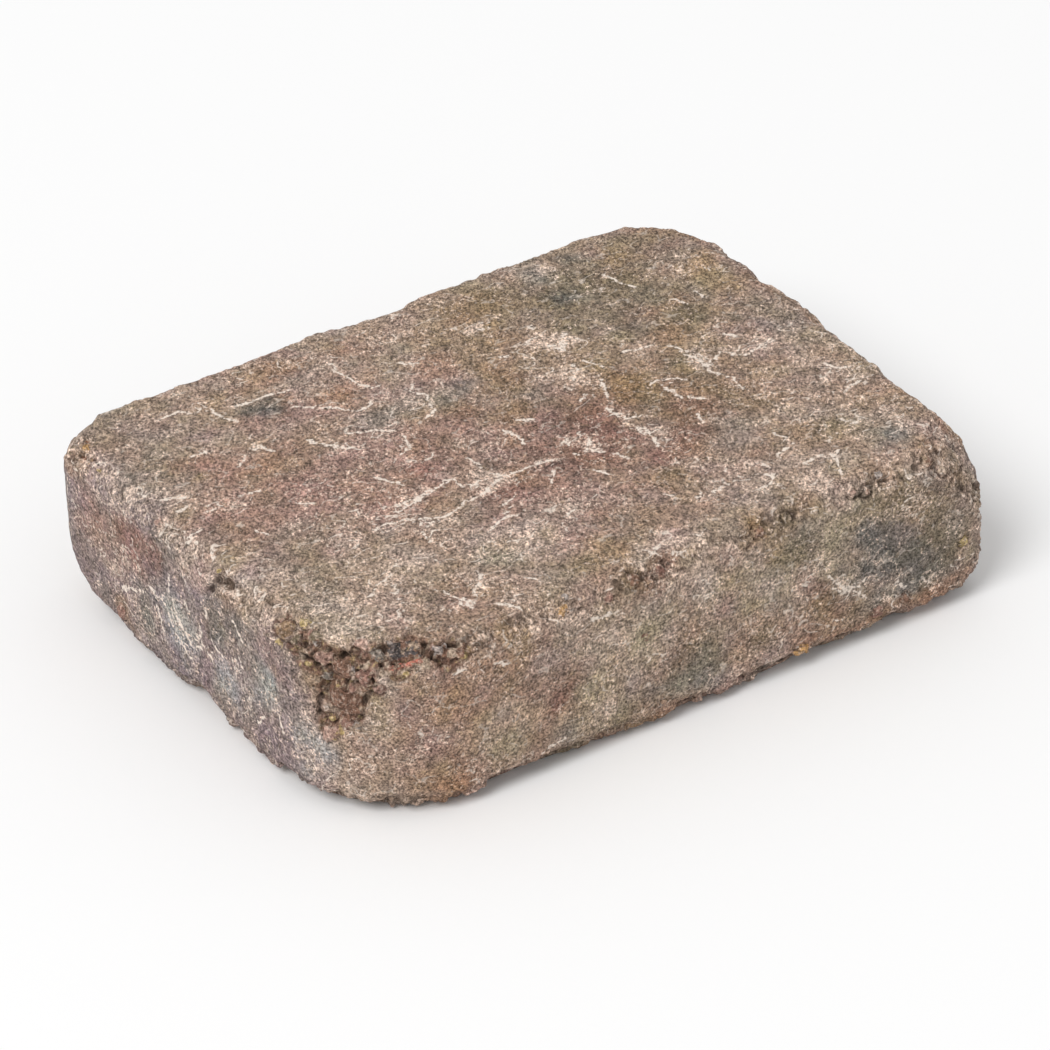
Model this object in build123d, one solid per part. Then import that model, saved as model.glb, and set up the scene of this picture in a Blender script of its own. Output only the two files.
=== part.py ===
"""Tumbled concrete paver: one dry-cast block whose arrises and corners were knocked off in a tumbling drum.

The block stands on its bed face at Z 0, centred in plan, with its wearing face up and its long side along X.
The outline, the worn corners and the broken-out corner are all here, and only the sand grain is left out.
"""

from build123d import *

import math
import os

# Driving dimensions, in millimetres
length = 200.0
width = 150.0
thickness = 50.0

# Plan radius that the drum left on each upright corner
front_left_radius = 36.0
front_right_radius = 10.0
back_right_radius = 26.0
back_left_radius = 14.0

# Rounding of the arrises round the wearing face and round the bed face
top_arris_radius = 6.0
bed_arris_radius = 6.5

# The drum wears each corner to part of a ball: its depth below the sharp corner, and its radius
TOP_CORNER_WEAR = {
    "front_left": (15.5, 58.0),
    "front_right": (13.6, 50.0),
    "back_right": (12.0, 45.0),
    "back_left": (9.2, 30.0),
}
BED_CORNER_WEAR = {
    "front_left": (15.8, 58.0),
    "front_right": (8.2, 26.0),
    "back_right": (12.5, 45.0),
    "back_left": (14.4, 52.0),
}

# Each upright corner of the plan: its side in X, its side in Y and its radius
CORNERS = {
    "front_left": (-1, -1, front_left_radius),
    "front_right": (1, -1, front_right_radius),
    "back_right": (1, 1, back_right_radius),
    "back_left": (-1, 1, back_left_radius),
}

# Bites out of the arrises: place along the side as a share of it, depth below the rounding, length and lean.
# A side runs from left to right, or from front to back. A lean of 45 degrees halves the faces' angle.
TOP_BITES = {
    "front": [
        (0.30, 1.0, 26, 50),
        (0.47, 0.7, 34, 42),
        (0.66, 0.9, 22, 55),
        (0.83, 1.1, 24, 40),
    ],
    "back": [
        (0.14, 0.4, 28, 45),
        (0.28, 0.6, 12, 50),
        (0.52, 1.6, 34, 48),
        (0.76, 0.5, 14, 50),
        (0.91, 1.2, 22, 48),
    ],
    "left": [
        (0.34, 1.3, 16, 52),
        (0.52, 0.8, 28, 45),
        (0.74, 0.9, 24, 50),
    ],
    "right": [
        (0.10, 3.4, 140, 42),
        (0.49, 1.8, 14, 45),
        (0.68, 1.4, 13, 40),
        (0.92, 1.2, 24, 42),
    ],
}
BED_BITES = {
    "front": [
        (0.13, 1.2, 20, 50),
        (0.25, 1.4, 44, 50),
        (0.37, 1.1, 16, 50),
        (0.71, 1.5, 12, 50),
        (0.86, 1.4, 44, 50),
    ],
    "back": [
        (0.22, 0.8, 24, 45),
        (0.45, 0.6, 34, 40),
        (0.69, 0.9, 26, 50),
    ],
    "left": [
        (0.20, 1.6, 22, 42),
        (0.40, 1.5, 7, 40),
        (0.51, 3.0, 18, 42),
        (0.62, 1.1, 26, 40),
        (0.84, 2.1, 46, 40),
    ],
    "right": [
        (0.20, 0.8, 22, 45),
        (0.48, 0.6, 26, 50),
        (0.74, 1.0, 24, 42),
    ],
}
# How far the tool for a bite reaches across the arris, each way
bite_reach = 30.0

# The broken-out corner at the front left: hollows, and the stones of the aggregate that they laid bare.
# Each is placed where a level line out of the corner's upright axis meets the worn surface: by the line's
# turn in degrees, from the left side towards the front, and by how far it runs below the wearing face.
# A hollow then has its breadth and its depth.
CORNER_HOLLOWS = {
    "small_back": (1.5, 1.3, 8.0, 1.6),
    "small_middle": (9, 0.8, 8.5, 1.9),
    "small_front": (16, 1.8, 7.5, 1.6),
    "upper": (28, 5.0, 14.0, 2.9),
    "middle": (34, 13.0, 18.0, 3.8),
    "lower": (31, 21.5, 13.0, 3.1),
    "beside_large_stone": (43.5, 15.0, 7.5, 2.0),
    "upper_right": (41, 3.2, 9.0, 2.0),
    "above_beige_stone": (47, 0.6, 5.0, 0.9),
    "notch_left": (56, 1.2, 8.0, 1.9),
    "notch_middle": (63, 0.9, 8.0, 2.4),
    "notch_right": (69, 0.9, 6.0, 1.8),
    "below_notch": (56, 5.6, 7.0, 1.2),
    "far": (78, 3.2, 5.0, 1.5),
}
# A stone then has its length, its breadth, the depth of its crown below the unbroken surface, and its spin
CORNER_STONES = {
    "large_brown": (35.5, 14.8, 7.0, 6.0, 0.9, 20),
    "broad_mauve": (38, 8.4, 5.6, 4.6, 1.2, 75),
    "upper_mauve": (27, 4.6, 4.8, 4.0, 0.9, 40),
    "red_brown": (41, 3.0, 3.8, 3.0, 0.6, 10),
    "pale_grey": (30, 8.0, 2.8, 2.2, 1.5, 60),
    "left_pink": (23.5, 12.0, 2.4, 2.0, 1.2, 35),
    "olive": (21.5, 6.6, 3.0, 2.2, 0.6, 80),
    "low_pink": (30.7, 23.0, 3.6, 3.0, 1.3, 15),
    "low_left": (25.5, 18.6, 3.2, 2.8, 1.8, 50),
    "low_right": (37.5, 22.8, 3.8, 2.0, 0.9, 5),
    "beige": (48.5, 1.4, 4.6, 2.2, 0.4, 25),
    "pink_pebble": (43, 1.0, 2.6, 2.2, 0.4, 70),
    "notch_red": (60.7, 3.9, 4.6, 2.0, 0.4, 30),
    "yellow": (14, 2.2, 3.2, 2.4, 0.5, 65),
    "olive_crest": (11, 0.5, 2.8, 2.2, 0.5, 20),
    "far_pebble": (80.3, 3.4, 2.4, 2.2, 0.3, 45),
}
# A crushed stone is a block with its edges chamfered by this share of its breadth, lying tilted in its bed
stone_chamfer_share = 0.3
stone_tilt = (14.0, -10.0)

# Pits in the left side's top arris: distance from the front, from the wearing face, breadth and depth
LEFT_PITS = {
    "large": (62.6, 2.4, 5.0, 1.8),
    "small": (66.6, 2.8, 3.4, 1.3),
}


def side_frame(side):
    """The start, running direction, outward direction and length of one side of the plan."""
    half_length = length / 2
    half_width = width / 2
    frames = {
        "front": (Vector(-half_length, -half_width, 0), Vector(1, 0, 0), Vector(0, -1, 0), length),
        "back": (Vector(-half_length, half_width, 0), Vector(1, 0, 0), Vector(0, 1, 0), length),
        "left": (Vector(-half_length, -half_width, 0), Vector(0, 1, 0), Vector(-1, 0, 0), width),
        "right": (Vector(half_length, -half_width, 0), Vector(0, 1, 0), Vector(1, 0, 0), width),
    }
    return frames[side]


def moulded_block():
    """The block with its upright corners rounded in plan and its arrises eased."""
    with BuildPart() as block:
        with BuildSketch():
            Rectangle(length, width)
        extrude(amount=thickness)
        for side_x, side_y, radius in CORNERS.values():
            upright = block.edges().filter_by(Axis.Z).sort_by_distance(
                (side_x * length / 2, side_y * width / 2, thickness / 2)
            )[0]
            fillet(upright, radius)
        fillet(block.faces().sort_by(Axis.Z)[-1].edges(), top_arris_radius)
        fillet(block.faces().sort_by(Axis.Z)[0].edges(), bed_arris_radius)
    return block.part


def corner_cutter(name, at_top, depth, ball_radius):
    """The tool that wears one corner: a box over it, hollowed by the ball that the corner is left as."""
    side_x, side_y, _ = CORNERS[name]
    side_z = 1 if at_top else -1
    sharp_corner = Vector(side_x * length / 2, side_y * width / 2, thickness if at_top else 0)
    outward = Vector(side_x, side_y, side_z).normalized()
    centre = sharp_corner - outward * (depth + ball_radius)
    reach = (sharp_corner - centre).X * side_x
    box_centre = sharp_corner - Vector(side_x, side_y, side_z) * (reach / 2)
    cover = Pos(box_centre) * Box(reach, reach, reach)
    return cover - Pos(centre) * Sphere(ball_radius)


def arc_radius(span, depth):
    """The radius of an arc that is this deep over this span."""
    return (span**2 / 4 + depth**2) / (2 * depth)


def arris_bite(side, at_top, share, depth, span, lean):
    """The tool for one shallow scallop: a cylinder lying across the arris, whose round side cuts along it."""
    start, along, outward, run = side_frame(side)
    arris_radius = top_arris_radius if at_top else bed_arris_radius
    upward = Vector(0, 0, 1 if at_top else -1)
    tilt = math.radians(lean)
    away = outward * math.cos(tilt) + upward * math.sin(tilt)
    rounding_depth = arris_radius * (math.cos(tilt) + math.sin(tilt) - 1)
    radius = arc_radius(span, depth)
    arris_point = start + along * (run * share) + Vector(0, 0, thickness if at_top else 0)
    centre = arris_point + away * (radius - rounding_depth - depth)
    return Plane(centre, x_dir=along, z_dir=along.cross(away)) * Cylinder(radius, 2 * bite_reach)


def worn_block():
    """The moulded block after the drum has worn its corners and bitten its arrises."""
    block = moulded_block()
    for wear, at_top in ((TOP_CORNER_WEAR, True), (BED_CORNER_WEAR, False)):
        for name, (depth, ball_radius) in wear.items():
            block -= corner_cutter(name, at_top, depth, ball_radius)
    bites = []
    for side_bites, at_top in ((TOP_BITES, True), (BED_BITES, False)):
        for side, entries in side_bites.items():
            for share, depth, span, lean in entries:
                bites.append(arris_bite(side, at_top, share, depth, span, lean))
    return block - bites


def worn_place(block, start, heading):
    """Where a level line from inside the block leaves its surface, and the way that it faces there."""
    meetings = block.shell().find_intersection_points(Axis(start, heading))
    ahead = [meeting for meeting in meetings if (meeting[0] - start).dot(heading) > 0]
    place, facing = ahead[-1]
    return place, facing if facing.dot(heading) > 0 else -facing


def corner_place(block, turn, down):
    """A place on the worn front left corner, and the way that it faces."""
    inset = Vector(front_left_radius, front_left_radius, -down)
    start = Vector(-length / 2, -width / 2, thickness) + inset
    angle = math.radians(turn)
    return worn_place(block, start, Vector(-math.cos(angle), -math.sin(angle), 0))


def hollow(place, facing, breadth, depth):
    """The ball that breaks out a hollow of this breadth and depth."""
    radius = arc_radius(breadth, depth)
    return Pos(place + facing * (radius - depth)) * Sphere(radius)


def stone(place, facing, stone_length, breadth, crown_depth, spin):
    """One crushed stone, bedded with its crown this far below the unbroken surface."""
    centre = place - facing * (crown_depth + breadth / 2)
    bed = Plane(centre, x_dir=facing.cross(Vector(0, 0, 1)), z_dir=facing)
    block = Box(stone_length, breadth, breadth)
    block = chamfer(block.edges(), breadth * stone_chamfer_share)
    return bed * Rot(*stone_tilt, spin) * block


def broken_block(block):
    """The worn block with its front left corner and its left arris broken out, and the stones laid bare."""
    hollows = []
    for turn, down, breadth, depth in CORNER_HOLLOWS.values():
        hollows.append(hollow(*corner_place(block, turn, down), breadth, depth))
    for distance, down, breadth, depth in LEFT_PITS.values():
        start = Vector(0, distance - width / 2, thickness - down)
        hollows.append(hollow(*worn_place(block, start, Vector(-1, 0, 0)), breadth, depth))
    stones = []
    for turn, down, stone_length, breadth, crown_depth, spin in CORNER_STONES.values():
        stones.append(stone(*corner_place(block, turn, down), stone_length, breadth, crown_depth, spin))
    return block - hollows + stones


paver = broken_block(worn_block())

os.makedirs("parts", exist_ok=True)
export_step(paver, "parts/paver.step")
print("volume", round(paver.volume), "valid", paver.is_valid, "faces", len(paver.faces()))
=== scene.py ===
import itertools
import math
import bpy
import numpy as np
from mathutils import Matrix, Vector


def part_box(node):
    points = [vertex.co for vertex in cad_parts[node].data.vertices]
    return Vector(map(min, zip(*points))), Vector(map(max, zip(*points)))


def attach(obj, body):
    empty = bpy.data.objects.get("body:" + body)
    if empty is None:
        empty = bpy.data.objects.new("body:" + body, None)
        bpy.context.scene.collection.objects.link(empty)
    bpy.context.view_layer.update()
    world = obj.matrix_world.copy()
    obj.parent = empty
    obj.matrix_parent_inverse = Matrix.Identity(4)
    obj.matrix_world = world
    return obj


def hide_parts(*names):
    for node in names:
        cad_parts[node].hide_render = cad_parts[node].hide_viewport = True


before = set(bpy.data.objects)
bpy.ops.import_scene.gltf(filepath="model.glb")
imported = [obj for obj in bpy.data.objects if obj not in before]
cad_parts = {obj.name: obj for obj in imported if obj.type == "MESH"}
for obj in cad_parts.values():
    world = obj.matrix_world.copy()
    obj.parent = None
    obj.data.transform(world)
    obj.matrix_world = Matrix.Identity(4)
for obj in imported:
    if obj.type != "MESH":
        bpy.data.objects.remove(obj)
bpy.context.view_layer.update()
MM = 0.001

# Mesh: voxel in millimetres, rounds of smoothing, and the most triangles that it is thinned to
VOXEL = 0.6
SOFTENING = 40
TRIANGLES = 194_000

# The block's lowest and highest corners in millimetres, in the part's frame, as all places below are
LOW, HIGH = (np.array(corner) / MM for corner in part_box("paver"))

# The broken corner as overlapping balls: place and radius
BROKEN = [
    ((-97.1, -39.2, 47.2), 3.8), ((-96.7, -46.0, 47.4), 4.2), ((-96.0, -50.6, 44.9), 5.5),
    ((-94.1, -55.9, 43.2), 6.5), ((-93.5, -56.0, 36.0), 6.0), ((-91.6, -59.4, 32.0), 5.6),
    ((-94.8, -54.8, 26.0), 3.8), ((-89.5, -61.0, 46.0), 4.4), ((-87.4, -63.4, 40.5), 4.6),
    ((-83.0, -64.0, 47.1), 5.0), ((-78.1, -65.8, 47.5), 4.5), ((-74.5, -68.0, 47.8), 4.0),
    ((-70.0, -72.2, 46.2), 4.2), ((-81.9, -69.0, 45.6), 3.5), ((-66.0, -73.5, 47.0), 2.6),
]

# Where the arrises are lumpiest, with dark gaps: place and radius
RAGGED = [
    ((88.0, -68.0, 45.0), 13.0), ((94.0, -73.0, 14.0), 13.0), ((93.0, -72.0, 30.0), 10.0),
    ((70.0, -72.5, 48.0), 9.0), ((57.0, -73.7, 47.2), 7.0), ((36.0, -72.0, 48.5), 6.0),
    ((28.0, -73.5, 46.5), 8.0), ((32.0, -75.0, 42.0), 5.0), ((19.0, -74.2, 47.0), 5.0),
    ((-1.0, -72.7, 47.7), 5.5), ((-8.0, -72.8, 47.5), 6.0), ((-18.0, -73.8, 47.0), 6.0),
    ((-34.0, -73.0, 47.4), 6.0), ((-50.0, -73.0, 47.5), 5.0), ((-62.0, -73.5, 47.0), 6.0),
    ((-98.0, 12.0, 47.0), 7.0), ((-98.0, 26.0, 47.0), 6.0), ((-98.0, 38.0, 47.0), 5.0),
    ((-95.0, 60.0, 47.0), 9.0), ((-97.0, -22.0, 46.0), 6.0), ((-97.0, -30.0, 46.0), 6.0),
    ((-98.0, 0.0, 46.5), 5.0),
]

# Pits, each hollowed along a short line: its two ends, half width, depth
PITS = [
    ((-98.5, -9.2, 46.2), (-98.0, -15.6, 47.8), 1.6, 1.9),
    ((-100.0, -6.2, 41.0), (-99.8, -9.2, 43.8), 1.3, 1.7),
    ((-95.9, -53.6, 33.5), (-96.2, -53.2, 26.5), 1.1, 1.6),
    ((-87.9, -63.2, 37.4), (-89.4, -61.4, 32.4), 1.1, 1.5),
    ((-98.0, -49.0, 45.0), (-96.0, -52.8, 42.4), 1.1, 1.5),
    ((-84.4, -62.8, 48.0), (-74.4, -67.6, 48.2), 1.8, 1.3),
    ((-73.4, -70.6, 47.4), (-72.6, -71.6, 46.2), 1.2, 1.5),
    ((-91.2, -57.6, 46.8), (-88.6, -60.8, 47.2), 1.0, 0.7),
    ((45.2, -49.4, 50.0), (47.8, -51.6, 50.0), 1.1, 1.3),
    ((41.0, -46.0, 50.0), (42.8, -46.4, 50.0), 0.9, 1.0),
    ((-3.2, 18.0, 50.0), (-2.2, 18.2, 50.0), 0.9, 1.7),
    ((-6.8, 18.8, 50.0), (-6.0, 18.8, 50.0), 0.8, 1.6),
    ((-10.4, 19.3, 50.0), (-9.2, 19.4, 50.0), 0.9, 1.7),
    ((-57.4, 26.3, 50.0), (-57.0, 26.3, 50.0), 0.7, 1.1),
    ((-75.8, -1.4, 50.0), (-75.4, -1.4, 50.0), 0.7, 1.1),
    ((-44.8, 41.0, 50.0), (-44.2, 41.0, 50.0), 0.7, 1.0),
    ((-16.3, 33.0, 50.0), (-15.7, 33.0, 50.0), 0.7, 1.0),
    ((-38.5, 16.5, 50.0), (-38.1, 16.5, 50.0), 0.6, 1.0),
    ((-43.4, 14.2, 50.0), (-43.0, 14.2, 50.0), 0.6, 1.0),
    ((-14.9, -10.8, 50.0), (-14.1, -10.8, 50.0), 0.7, 1.0),
    ((-81.7, -47.0, 50.0), (-80.5, -46.4, 50.0), 0.9, 1.0),
    ((-10.9, -73.4, 47.2), (-9.5, -73.4, 47.2), 1.3, 0.8),
    ((-3.9, -73.2, 47.5), (-2.5, -73.0, 47.6), 1.3, 0.9),
    ((-20.0, -74.0, 47.0), (-17.8, -73.7, 47.3), 1.1, 0.6),
    ((-33.6, -73.2, 47.3), (-32.0, -72.8, 47.8), 1.2, 0.9),
    ((-37.4, -73.4, 47.0), (-36.6, -73.0, 47.6), 0.9, 0.7),
    ((30.2, -75.0, 43.4), (32.0, -75.0, 46.4), 1.5, 1.0),
    ((26.0, -74.2, 46.0), (28.4, -73.2, 47.8), 1.2, 0.7),
    ((19.8, -75.0, 44.3), (21.2, -75.0, 44.7), 1.0, 1.0),
    ((55.0, -74.4, 46.4), (57.6, -73.8, 47.0), 1.2, 0.7),
    ((63.6, -73.0, 47.1), (65.0, -73.0, 48.0), 1.0, 0.9),
    ((76.0, -72.0, 47.4), (78.6, -71.6, 47.3), 1.1, 0.6),
]
SEEDED_PITS = 170
SEEDED_PIT_WIDTHS = (0.5, 1.1)

# Round stones that show: place, radius, colour name
STONES = [
    ((-92.2, -58.6, 33.4), 4.6, "brown"), ((-91.0, -60.4, 37.6), 1.6, "rose"),
    ((-94.6, -54.9, 39.6), 2.0, "slate"), ((-86.6, -59.6, 50.0), 2.2, "pink"),
    ((-69.0, -72.8, 47.3), 1.5, "beige"), ((-95.2, -55.6, 23.6), 2.2, "pink"),
    ((-93.4, -43.2, 50.0), 1.7, "yellow"), ((-94.4, -48.6, 49.2), 1.9, "olive"),
    ((-92.2, -58.8, 27.0), 1.8, "rose"), ((-98.2, -51.4, 43.2), 1.5, "yellow"),
    ((-97.4, -44.6, 47.2), 1.5, "olive"), ((-88.2, -63.0, 42.0), 2.6, "rose"),
    ((-85.6, -65.6, 39.0), 2.0, "mauve"), ((-91.6, -58.2, 43.6), 2.8, "brown"),
    ((-94.8, -53.6, 45.6), 2.5, "mauve"), ((-77.0, -66.6, 48.4), 2.2, "night"),
    ((-80.6, -64.6, 48.0), 2.4, "night"), ((-84.4, -63.0, 47.6), 1.9, "slate"),
    ((-97.6, -39.6, 47.2), 2.6, "umber"), ((-72.0, -71.0, 47.8), 1.9, "pale grey"),
    ((-67.0, -73.2, 46.6), 1.6, "brown"), ((-34.0, -71.0, 49.0), 1.2, "pale grey"),
    ((54.1, -73.8, 47.7), 1.4, "pink"), ((-6.2, -73.0, 47.4), 1.9, "plum"),
    ((58.6, -73.6, 46.8), 1.8, "brown"), ((63.6, -71.7, 48.5), 1.4, "pale grey"),
    ((79.9, -71.4, 46.7), 1.8, "brown"), ((83.8, -72.8, 42.9), 1.6, "beige"),
    ((89.2, -74.0, 19.4), 1.6, "yellow"), ((-14.4, -73.4, 47.4), 2.0, "brown"),
    ((-95.6, 59.5, 49.0), 1.2, "orange"), ((-97.0, 58.0, 47.4), 0.9, "rust"),
    ((-97.6, 50.0, 47.8), 0.8, "yellow"), ((-96.4, 55.0, 48.6), 0.9, "umber"),
    ((-94.0, 62.0, 48.8), 1.1, "rust"), ((-98.2, 54.0, 46.6), 0.8, "orange"),
    ((-97.6, -9.0, 48.4), 1.1, "yellow"), ((-100.0, 38.8, 10.6), 2.4, "rose"),
    ((-12.0, -74.5, 30.0), 1.2, "rose"), ((-97.2, 65.0, 46.0), 1.6, "olive"),
    ((36.6, -74.8, 5.6), 2.2, "orange"), ((61.3, -75.0, 8.5), 1.8, "rose"),
    ((-97.6, 20.0, 47.4), 1.3, "pink"), ((70.5, -74.8, 9.0), 1.6, "brown"),
    ((24.0, -73.8, 47.6), 1.8, "brown"), ((34.0, -72.4, 48.2), 1.6, "beige"),
    ((-23.0, -74.6, 45.8), 1.5, "rose"),
]

# Long stones that show: both ends, radius, colour name
SPLINTERS = [
    ((-83.1, -67.4, 45.2), (-77.2, -70.2, 46.8), 0.9, "red"),
    ((-36.4, -73.3, 46.6), (-34.8, -73.1, 47.4), 1.3, "orange"),
    ((-85.0, -66.4, 43.4), (-80.0, -69.6, 44.4), 0.8, "beige"),
    ((-100.0, -46.0, 41.0), (-98.6, -50.4, 34.0), 0.8, "beige"),
]
SEEDED_STONES = 80
SEEDED_STONE_RADII = (0.6, 1.4)
SEEDED_STONE_COLOURS = ["brown", "rose", "mauve", "beige", "yellow", "umber", "pale grey", "olive"]

# Colours as they look on a screen, from 0 to 255
COLOURS = {
    "taupe": (158, 137, 121), "mauve": (154, 123, 111), "plum": (130, 95, 84), "peach": (165, 129, 108),
    "ochre": (157, 134, 101), "umber": (142, 117, 91), "olive": (120, 109, 89), "slate": (131, 125, 117),
    "blue": (98, 98, 94), "dusk": (137, 122, 119), "pale": (178, 158, 143), "sand": (172, 156, 134),
    "chalk": (166, 166, 163), "bed brown": (150, 112, 88), "cream": (236, 211, 193),
    # The colour (62, 50, 42) is the painted shade of pits, hollows between crumbs and deep places
    "lime": (196, 171, 155), "streak": (250, 234, 220), "painted shade": (62, 50, 42), "brown": (128, 96, 80),
    "rose": (150, 114, 102), "rust": (140, 92, 66), "pink": (188, 154, 140),
    "pale grey": (178, 168, 162), "yellow": (186, 164, 112), "beige": (184, 164, 144),
    "red": (196, 116, 98), "orange": (204, 160, 106), "gap": (70, 50, 40), "night": (70, 71, 74),
}


def linear(name):
    """The named colour as the shader takes it."""
    levels = [level / 255 for level in COLOURS[name]]
    parts = [level / 12.92 if level < 0.0405 else ((level + 0.055) / 1.055) ** 2.4 for level in levels]
    return (*parts, 1.0)


# Soft patches of colour on each face: their middles and half sizes. Each is two measures, along the face
# and across it: x and y on the wearing face, x and z on the front, y and z on the left. Lime has its
# strength as well.

TOP_TINTS = {
    "mauve": [
        (-42, 8, 50, 34), (-5, -35, 40, 24), (-62, 8, 26, 14), (-40, -13, 22, 8), (-25, 4, 14, 9),
        (45, -15, 9, 11), (-10, 58, 12, 8), (0, 38, 8, 10), (-10, -28, 20, 7), (-48, 42, 12, 9),
        (58, 30, 8, 8), (-88, 5, 8, 12),
    ],
    "peach": [(-68, 28, 11, 8), (-78, 38, 7, 5), (-30, 40, 8, 5), (70, 27, 8, 5), (-38, 60, 12, 7)],
    "plum": [
        (10, -10, 30, 24), (19, -9, 11, 14), (34, -27, 9, 8), (-8, 14, 7, 6), (-33, -2, 8, 5),
        (6, -22, 10, 6), (-20, -22, 9, 5), (25, -32, 8, 6), (44, -4, 6, 6), (40, -21, 9, 6),
    ],
    "ochre": [
        (85, 37, 9, 15), (73, 58, 9, 7), (-20, -62, 10, 8), (63, -45, 10, 8), (-80, 30, 3.5, 3),
        (20, 44, 7, 6), (34, 6, 5, 12), (-14, -62, 6, 9),
    ],
    "umber": [
        (20, 36, 22, 30), (45, -5, 24, 30), (11, 22, 12, 9), (26, 58, 15, 9), (34, 2, 7, 14),
        (17, -42, 10, 7), (-32, 61, 9, 6), (58, -24, 8, 5), (4, 6, 7, 7), (62, 14, 10, 5),
    ],
    "olive": [
        (60, 42, 25, 26), (48, 50, 10, 13), (62, 47, 10, 12), (47, 44, 5, 4), (54, 4, 7, 6),
        (64, -46, 7, 5), (-61, -53, 6, 5), (70, 20, 12, 7), (84, 60, 7, 6), (40, 36, 6, 6),
    ],
    "slate": [
        (-94, 32, 7, 14), (-38, -47, 5, 6), (88, 5, 8, 12), (75, -60, 8, 8), (46, 62, 6, 6),
        (-4, 26, 12, 5), (-25, 26, 12, 6),
    ],
    "night": [(-50, 48, 4.5, 4.5)],
    "blue": [(-49, 48, 6, 5), (48, 45, 4, 3.5), (76, -60, 4, 4), (60, 64, 5, 4)],
    "pale": [
        (-82, -50, 12, 10), (-62, -38, 14, 7), (-30, -42, 18, 9), (-92, -20, 8, 12), (0, -66, 10, 5),
        (50, -60, 12, 6),
    ],
}
TOP_LIME = [
    (32, 30, 7, 10, 1.2), (25, 14, 6, 10, 1.1), (21, 48, 5, 5, 1.1), (-5, 45, 4, 3, 0.9),
    (-30, 22, 18, 8, 0.35), (-59, 33, 4, 5, 0.9), (-73, -8, 6, 5, 0.6), (-76, -45, 18, 14, 0.6),
    (-20, -17, 8, 6, 1.1), (11, -16, 5, 5, 1.0), (-48, -57, 5, 11, 0.8), (40, -53, 5, 6, 0.6),
    (47, -66, 6, 4, 1.2), (22, -54, 5, 2, 0.6), (-2, 61, 12, 9, 0.4), (-8, 2, 10, 7, 0.5),
    (48, 13, 5, 4, 0.9), (58, -4, 5, 7, 0.9), (74, -3, 7, 5, 0.7), (0, -68, 9, 6, 0.6),
    (68, -35, 9, 5, 0.5), (70, -52, 6, 4, 0.5), (-97, -2, 5, 7, 0.6), (-68, -25, 8, 8, 0.6),
    (-43, -30, 6, 9, 0.6), (85, -30, 9, 12, 0.4), (-30, -42, 20, 12, 0.5), (50, 61, 3, 6, 1.0),
    (-40, -12, 8, 4, 0.55), (-58, -35, 10, 8, 0.6), (30, -60, 12, 5, 0.3), (-15, 28, 8, 7, 0.5),
    (-22, 56, 3, 8, 0.7), (-34, 37, 6, 3, 0.5), (-43, 22, 4, 6, 0.7), (26, -15, 3, 11, 0.9),
    (-78, 12, 6, 4, 0.6), (-58, -12, 8, 5, 0.7), (-10, -37, 8, 5, 0.6),
]
FRONT_TINTS = {
    "peach": [(-66, 26, 28, 28)],
    "mauve": [
        (-85, 38, 9, 8), (-76, 22, 7, 9), (-73, 40, 6, 6), (-8, 46, 10, 5), (-38, 26, 10, 8),
        (88, 30, 6, 7),
    ],
    "plum": [
        (-97, 46, 8, 9), (-83, 32, 3, 3), (-73, 46, 6, 5), (-38, 23, 6, 4), (-8, 47, 7, 4),
        (43, 20, 6, 7),
    ],
    "ochre": [(-51, 42, 6, 8), (-20, 27, 6, 7), (30, 45, 5, 6), (24, 47, 4, 3)],
    "umber": [
        (32, 47, 12, 5), (-12, 48, 10, 3), (62, 48, 8, 3), (31, 43, 5, 7), (40, 14, 12, 7),
        (-76, 10, 10, 4), (54, 14, 9, 5), (72, 10, 8, 4),
    ],
    "sand": [
        (-18, 29, 16, 14), (24, 30, 15, 14), (8, 40, 14, 8), (44, 34, 9, 12), (56, 40, 12, 9),
        (-55, 18, 12, 10), (-28, 14, 12, 8),
    ],
    "olive": [
        (80, 28, 14, 26), (0, 17, 9, 6), (25, 14, 6, 6), (80, 18, 10, 10), (66, 40, 14, 8),
        (38, 38, 7, 6), (-22, 9, 6, 4), (31, 47, 6, 5),
    ],
    "slate": [(-4, 11, 11, 5), (60, 26, 14, 14), (8, 14, 8, 6), (64, 12, 14, 5)],
    "blue": [
        (60, 33, 6, 6), (64, 27, 9, 8), (66, 19, 8, 7), (72, 22, 8, 7), (78, 13, 11, 6), (56, 21, 5, 5),
    ],
    "bed brown": [
        (37, 8, 6, 3), (62, 7, 9, 3.5), (48, 6, 8, 3.5), (80, 6, 9, 3), (-70, 6, 8, 3), (90, 8, 6, 4),
    ],
    "pale": [
        (-87, 34, 6, 8), (-34, 43, 7, 4), (-21, 31, 6, 6), (5, 41, 6, 8), (24, 30, 6, 4),
        (-19, 25, 5, 4), (53, 20, 3.5, 3.5), (88, 48, 7, 4), (94, 28, 6, 18), (72, 48, 9, 4),
    ],
}
FRONT_LIME = [
    (-88, 31, 7, 8, 0.7), (-64, 41, 6, 4, 0.5), (-33, 43, 10, 5, 0.6), (-20, 30, 6, 10, 0.35),
    (6, 40, 6, 9, 0.6), (28, 32, 5, 4, 0.4), (53, 20, 4, 4, 0.7), (47, 10, 4, 3, 0.3),
    (-10, 36, 9, 7, 0.3), (88, 46, 8, 6, 0.7), (60, 47, 12, 4, 0.6), (-52, 42, 3, 2, 0.8),
    (-47, 46, 3, 2, 0.8), (70, 38, 6, 4, 0.6),
]
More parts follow.
